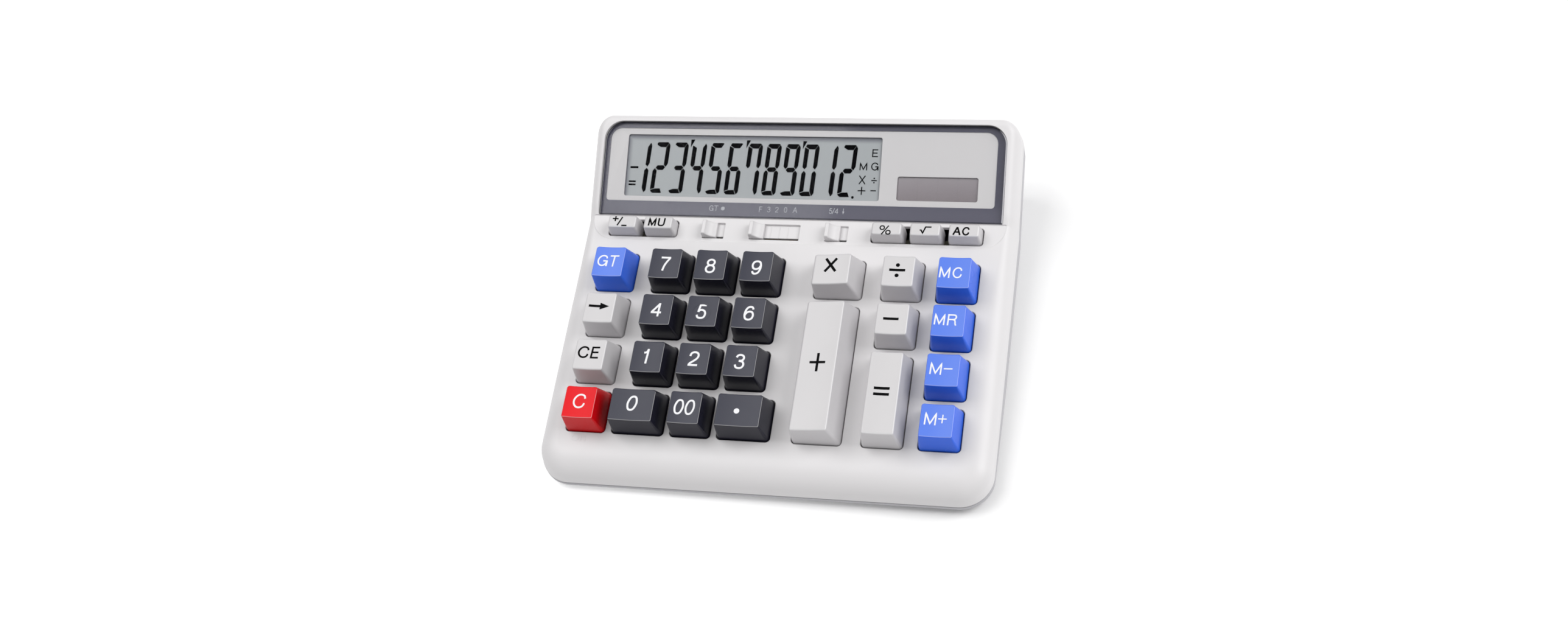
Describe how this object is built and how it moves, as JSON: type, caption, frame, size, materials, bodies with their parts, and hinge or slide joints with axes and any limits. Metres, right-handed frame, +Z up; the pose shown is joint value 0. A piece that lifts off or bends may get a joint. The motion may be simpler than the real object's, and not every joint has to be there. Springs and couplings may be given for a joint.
{
  "type": "desktop calculator",
  "caption": "Wide desktop calculator with a raised sloping display, solar cell, tall separate keys and slide switches.",
  "frame": {"origin": "bottom centre: on the table, under the middle of the case in plan", "axes": "+X to the user's right along the display, +Y from the front edge to the back, +Z up"},
  "size_m": [0.1812, 0.1568, 0.0444],
  "materials": {
    "case": "light grey moulded plastic, very fine texture, soft sheen",
    "figure_keys": "near black keycaps, satin top and glossy sides",
    "function_keys": "light grey keycaps, satin top and glossy sides",
    "memory_keys": "blue keycaps, satin top and glossy sides",
    "clear_key": "red keycap, satin top and glossy sides",
    "switch_knobs": "light grey slide knobs, satin",
    "lens": "clear polished acrylic with a bevelled edge",
    "display_panel": "silver grey printed panel, fine metallic grain",
    "lcd_glass": "grey green liquid crystal display, satin polariser",
    "solar_cell": "dark purple brown cell, glossy",
    "holder": "white moulded plastic, hidden",
    "keypad": "translucent silicone, hidden",
    "board": "green solder mask, hidden",
    "contact_metal": "stamped brass",
    "spring_metal": "plated spring steel",
    "screws": "zinc plated steel",
    "battery": "plain printed sleeve with no marks",
    "ribbon": "amber flexible film, hidden",
    "lead": "insulated wire, hidden",
    "feet": "black rubber"
  },
  "bodies": {
    "case": {"rubber_keypad": "keypad", "circuit_board": "board", "display_lens": "lens", "display_panel": "display_panel", "lcd_glass": "lcd_glass", "solar_cell": "solar_cell", "lcd_holder": "holder", "top_case": "case", "bottom_case": "case", "foot_front_left": "feet", "case_screw_front_left": "screws", "foot_front_right": "feet", "case_screw_front_right": "screws", "foot_back_left": "feet", "case_screw_back_left": "screws", "foot_back_right": "feet", "case_screw_back_right": "screws", "battery_cell": "battery", "battery_contact": "contact_metal", "battery_spring": "spring_metal", "lcd_ribbon": "ribbon", "battery_lead_left": "lead", "battery_lead_right": "lead"},
    "key_7": {"key_7": "figure_keys"},
    "key_8": {"key_8": "figure_keys"},
    "key_9": {"key_9": "figure_keys"},
    "key_4": {"key_4": "figure_keys"},
    "key_5": {"key_5": "figure_keys"},
    "key_6": {"key_6": "figure_keys"},
    "key_1": {"key_1": "figure_keys"},
    "key_2": {"key_2": "figure_keys"},
    "key_3": {"key_3": "figure_keys"},
    "key_0": {"key_0": "figure_keys"},
    "key_00": {"key_00": "figure_keys"},
    "key_point": {"key_point": "figure_keys"},
    "key_grand_total": {"key_grand_total": "memory_keys"},
    "key_backspace": {"key_backspace": "function_keys"},
    "key_clear_entry": {"key_clear_entry": "function_keys"},
    "key_clear": {"key_clear": "clear_key"},
    "key_multiply": {"key_multiply": "function_keys"},
    "key_divide": {"key_divide": "function_keys"},
    "key_minus": {"key_minus": "function_keys"},
    "key_plus": {"key_plus": "function_keys"},
    "key_equals": {"key_equals": "function_keys"},
    "key_memory_clear": {"key_memory_clear": "memory_keys"},
    "key_memory_recall": {"key_memory_recall": "memory_keys"},
    "key_memory_minus": {"key_memory_minus": "memory_keys"},
    "key_memory_plus": {"key_memory_plus": "memory_keys"},
    "key_plus_minus": {"key_plus_minus": "function_keys"},
    "key_mark_up": {"key_mark_up": "function_keys"},
    "key_percent": {"key_percent": "function_keys"},
    "key_root": {"key_root": "function_keys"},
    "key_all_clear": {"key_all_clear": "function_keys"},
    "grand_total_switch": {"grand_total_switch_knob": "switch_knobs", "grand_total_switch_wiper": "contact_metal"},
    "decimal_switch": {"decimal_switch_knob": "switch_knobs", "decimal_switch_wiper": "contact_metal"},
    "rounding_switch": {"rounding_switch_knob": "switch_knobs", "rounding_switch_wiper": "contact_metal"},
    "battery_door": {"battery_door": "case"}
  },
  "joints": [
    {"name": "press_key_7", "type": "slide", "parent": "case", "child": "key_7", "axis": [0, 0.1045, -0.9945], "range_m": [0, 0.0028], "stiffness_N_per_m": 150, "springref_m": -0.0015, "deforming": ["rubber_keypad"]},
    {"name": "press_key_8", "type": "slide", "parent": "case", "child": "key_8", "axis": [0, 0.1045, -0.9945], "range_m": [0, 0.0028], "stiffness_N_per_m": 150, "springref_m": -0.0015, "deforming": ["rubber_keypad"]},
    {"name": "press_key_9", "type": "slide", "parent": "case", "child": "key_9", "axis": [0, 0.1045, -0.9945], "range_m": [0, 0.0028], "stiffness_N_per_m": 150, "springref_m": -0.0015, "deforming": ["rubber_keypad"]},
    {"name": "press_key_4", "type": "slide", "parent": "case", "child": "key_4", "axis": [0, 0.1045, -0.9945], "range_m": [0, 0.0028], "stiffness_N_per_m": 150, "springref_m": -0.0015, "deforming": ["rubber_keypad"]},
    {"name": "press_key_5", "type": "slide", "parent": "case", "child": "key_5", "axis": [0, 0.1045, -0.9945], "range_m": [0, 0.0028], "stiffness_N_per_m": 150, "springref_m": -0.0015, "deforming": ["rubber_keypad"]},
    {"name": "press_key_6", "type": "slide", "parent": "case", "child": "key_6", "axis": [0, 0.1045, -0.9945], "range_m": [0, 0.0028], "stiffness_N_per_m": 150, "springref_m": -0.0015, "deforming": ["rubber_keypad"]},
    {"name": "press_key_1", "type": "slide", "parent": "case", "child": "key_1", "axis": [0, 0.1045, -0.9945], "range_m": [0, 0.0028], "stiffness_N_per_m": 150, "springref_m": -0.0015, "deforming": ["rubber_keypad"]},
    {"name": "press_key_2", "type": "slide", "parent": "case", "child": "key_2", "axis": [0, 0.1045, -0.9945], "range_m": [0, 0.0028], "stiffness_N_per_m": 150, "springref_m": -0.0015, "deforming": ["rubber_keypad"]},
    {"name": "press_key_3", "type": "slide", "parent": "case", "child": "key_3", "axis": [0, 0.1045, -0.9945], "range_m": [0, 0.0028], "stiffness_N_per_m": 150, "springref_m": -0.0015, "deforming": ["rubber_keypad"]},
    {"name": "press_key_0", "type": "slide", "parent": "case", "child": "key_0", "axis": [0, 0.1045, -0.9945], "range_m": [0, 0.0028], "stiffness_N_per_m": 150, "springref_m": -0.0015, "deforming": ["rubber_keypad"]},
    {"name": "press_key_00", "type": "slide", "parent": "case", "child": "key_00", "axis": [0, 0.1045, -0.9945], "range_m": [0, 0.0028], "stiffness_N_per_m": 150, "springref_m": -0.0015, "deforming": ["rubber_keypad"]},
    {"name": "press_key_point", "type": "slide", "parent": "case", "child": "key_point", "axis": [0, 0.1045, -0.9945], "range_m": [0, 0.0028], "stiffness_N_per_m": 150, "springref_m": -0.0015, "deforming": ["rubber_keypad"]},
    {"name": "press_key_grand_total", "type": "slide", "parent": "case", "child": "key_grand_total", "axis": [0, 0.1045, -0.9945], "range_m": [0, 0.0028], "stiffness_N_per_m": 150, "springref_m": -0.0015, "deforming": ["rubber_keypad"]},
    {"name": "press_key_backspace", "type": "slide", "parent": "case", "child": "key_backspace", "axis": [0, 0.1045, -0.9945], "range_m": [0, 0.0028], "stiffness_N_per_m": 150, "springref_m": -0.0015, "deforming": ["rubber_keypad"]},
    {"name": "press_key_clear_entry", "type": "slide", "parent": "case", "child": "key_clear_entry", "axis": [0, 0.1045, -0.9945], "range_m": [0, 0.0028], "stiffness_N_per_m": 150, "springref_m": -0.0015, "deforming": ["rubber_keypad"]},
    {"name": "press_key_clear", "type": "slide", "parent": "case", "child": "key_clear", "axis": [0, 0.1045, -0.9945], "range_m": [0, 0.0028], "stiffness_N_per_m": 150, "springref_m": -0.0015, "deforming": ["rubber_keypad"]},
    {"name": "press_key_multiply", "type": "slide", "parent": "case", "child": "key_multiply", "axis": [0, 0.1045, -0.9945], "range_m": [0, 0.0028], "stiffness_N_per_m": 150, "springref_m": -0.0015, "deforming": ["rubber_keypad"]},
    {"name": "press_key_divide", "type": "slide", "parent": "case", "child": "key_divide", "axis": [0, 0.1045, -0.9945], "range_m": [0, 0.0028], "stiffness_N_per_m": 150, "springref_m": -0.0015, "deforming": ["rubber_keypad"]},
    {"name": "press_key_minus", "type": "slide", "parent": "case", "child": "key_minus", "axis": [0, 0.1045, -0.9945], "range_m": [0, 0.0028], "stiffness_N_per_m": 150, "springref_m": -0.0015, "deforming": ["rubber_keypad"]},
    {"name": "press_key_plus", "type": "slide", "parent": "case", "child": "key_plus", "axis": [0, 0.1045, -0.9945], "range_m": [0, 0.0028], "stiffness_N_per_m": 150, "springref_m": -0.0015, "deforming": ["rubber_keypad"]},
    {"name": "press_key_equals", "type": "slide", "parent": "case", "child": "key_equals", "axis": [0, 0.1045, -0.9945], "range_m": [0, 0.0028], "stiffness_N_per_m": 150, "springref_m": -0.0015, "deforming": ["rubber_keypad"]},
    {"name": "press_key_memory_clear", "type": "slide", "parent": "case", "child": "key_memory_clear", "axis": [0, 0.1045, -0.9945], "range_m": [0, 0.0028], "stiffness_N_per_m": 150, "springref_m": -0.0015, "deforming": ["rubber_keypad"]},
    {"name": "press_key_memory_recall", "type": "slide", "parent": "case", "child": "key_memory_recall", "axis": [0, 0.1045, -0.9945], "range_m": [0, 0.0028], "stiffness_N_per_m": 150, "springref_m": -0.0015, "deforming": ["rubber_keypad"]},
    {"name": "press_key_memory_minus", "type": "slide", "parent": "case", "child": "key_memory_minus", "axis": [0, 0.1045, -0.9945], "range_m": [0, 0.0028], "stiffness_N_per_m": 150, "springref_m": -0.0015, "deforming": ["rubber_keypad"]},
    {"name": "press_key_memory_plus", "type": "slide", "parent": "case", "child": "key_memory_plus", "axis": [0, 0.1045, -0.9945], "range_m": [0, 0.0028], "stiffness_N_per_m": 150, "springref_m": -0.0015, "deforming": ["rubber_keypad"]},
    {"name": "press_key_plus_minus", "type": "slide", "parent": "case", "child": "key_plus_minus", "axis": [0, 0.1045, -0.9945], "range_m": [0, 0.0028], "stiffness_N_per_m": 150, "springref_m": -0.0015, "deforming": ["rubber_keypad"]},
    {"name": "press_key_mark_up", "type": "slide", "parent": "case", "child": "key_mark_up", "axis": [0, 0.1045, -0.9945], "range_m": [0, 0.0028], "stiffness_N_per_m": 150, "springref_m": -0.0015, "deforming": ["rubber_keypad"]},
    {"name": "press_key_percent", "type": "slide", "parent": "case", "child": "key_percent", "axis": [0, 0.1045, -0.9945], "range_m": [0, 0.0028], "stiffness_N_per_m": 150, "springref_m": -0.0015, "deforming": ["rubber_keypad"]},
    {"name": "press_key_root", "type": "slide", "parent": "case", "child": "key_root", "axis": [0, 0.1045, -0.9945], "range_m": [0, 0.0028], "stiffness_N_per_m": 150, "springref_m": -0.0015, "deforming": ["rubber_keypad"]},
    {"name": "press_key_all_clear", "type": "slide", "parent": "case", "child": "key_all_clear", "axis": [0, 0.1045, -0.9945], "range_m": [0, 0.0028], "stiffness_N_per_m": 150, "springref_m": -0.0015, "deforming": ["rubber_keypad"]},
    {"name": "slide_grand_total_switch", "type": "slide", "parent": "case", "child": "grand_total_switch", "axis": [1, 0, 0], "range_m": [0, 0.0029]},
    {"name": "slide_decimal_switch", "type": "slide", "parent": "case", "child": "decimal_switch", "axis": [1, 0, 0], "range_m": [0, 0.0146]},
    {"name": "slide_rounding_switch", "type": "slide", "parent": "case", "child": "rounding_switch", "axis": [1, 0, 0], "range_m": [0, 0.0029]},
    {"name": "slide_battery_door", "type": "slide", "parent": "case", "child": "battery_door", "axis": [0, 1, 0], "range_m": [0, 0.006]}
  ]
}
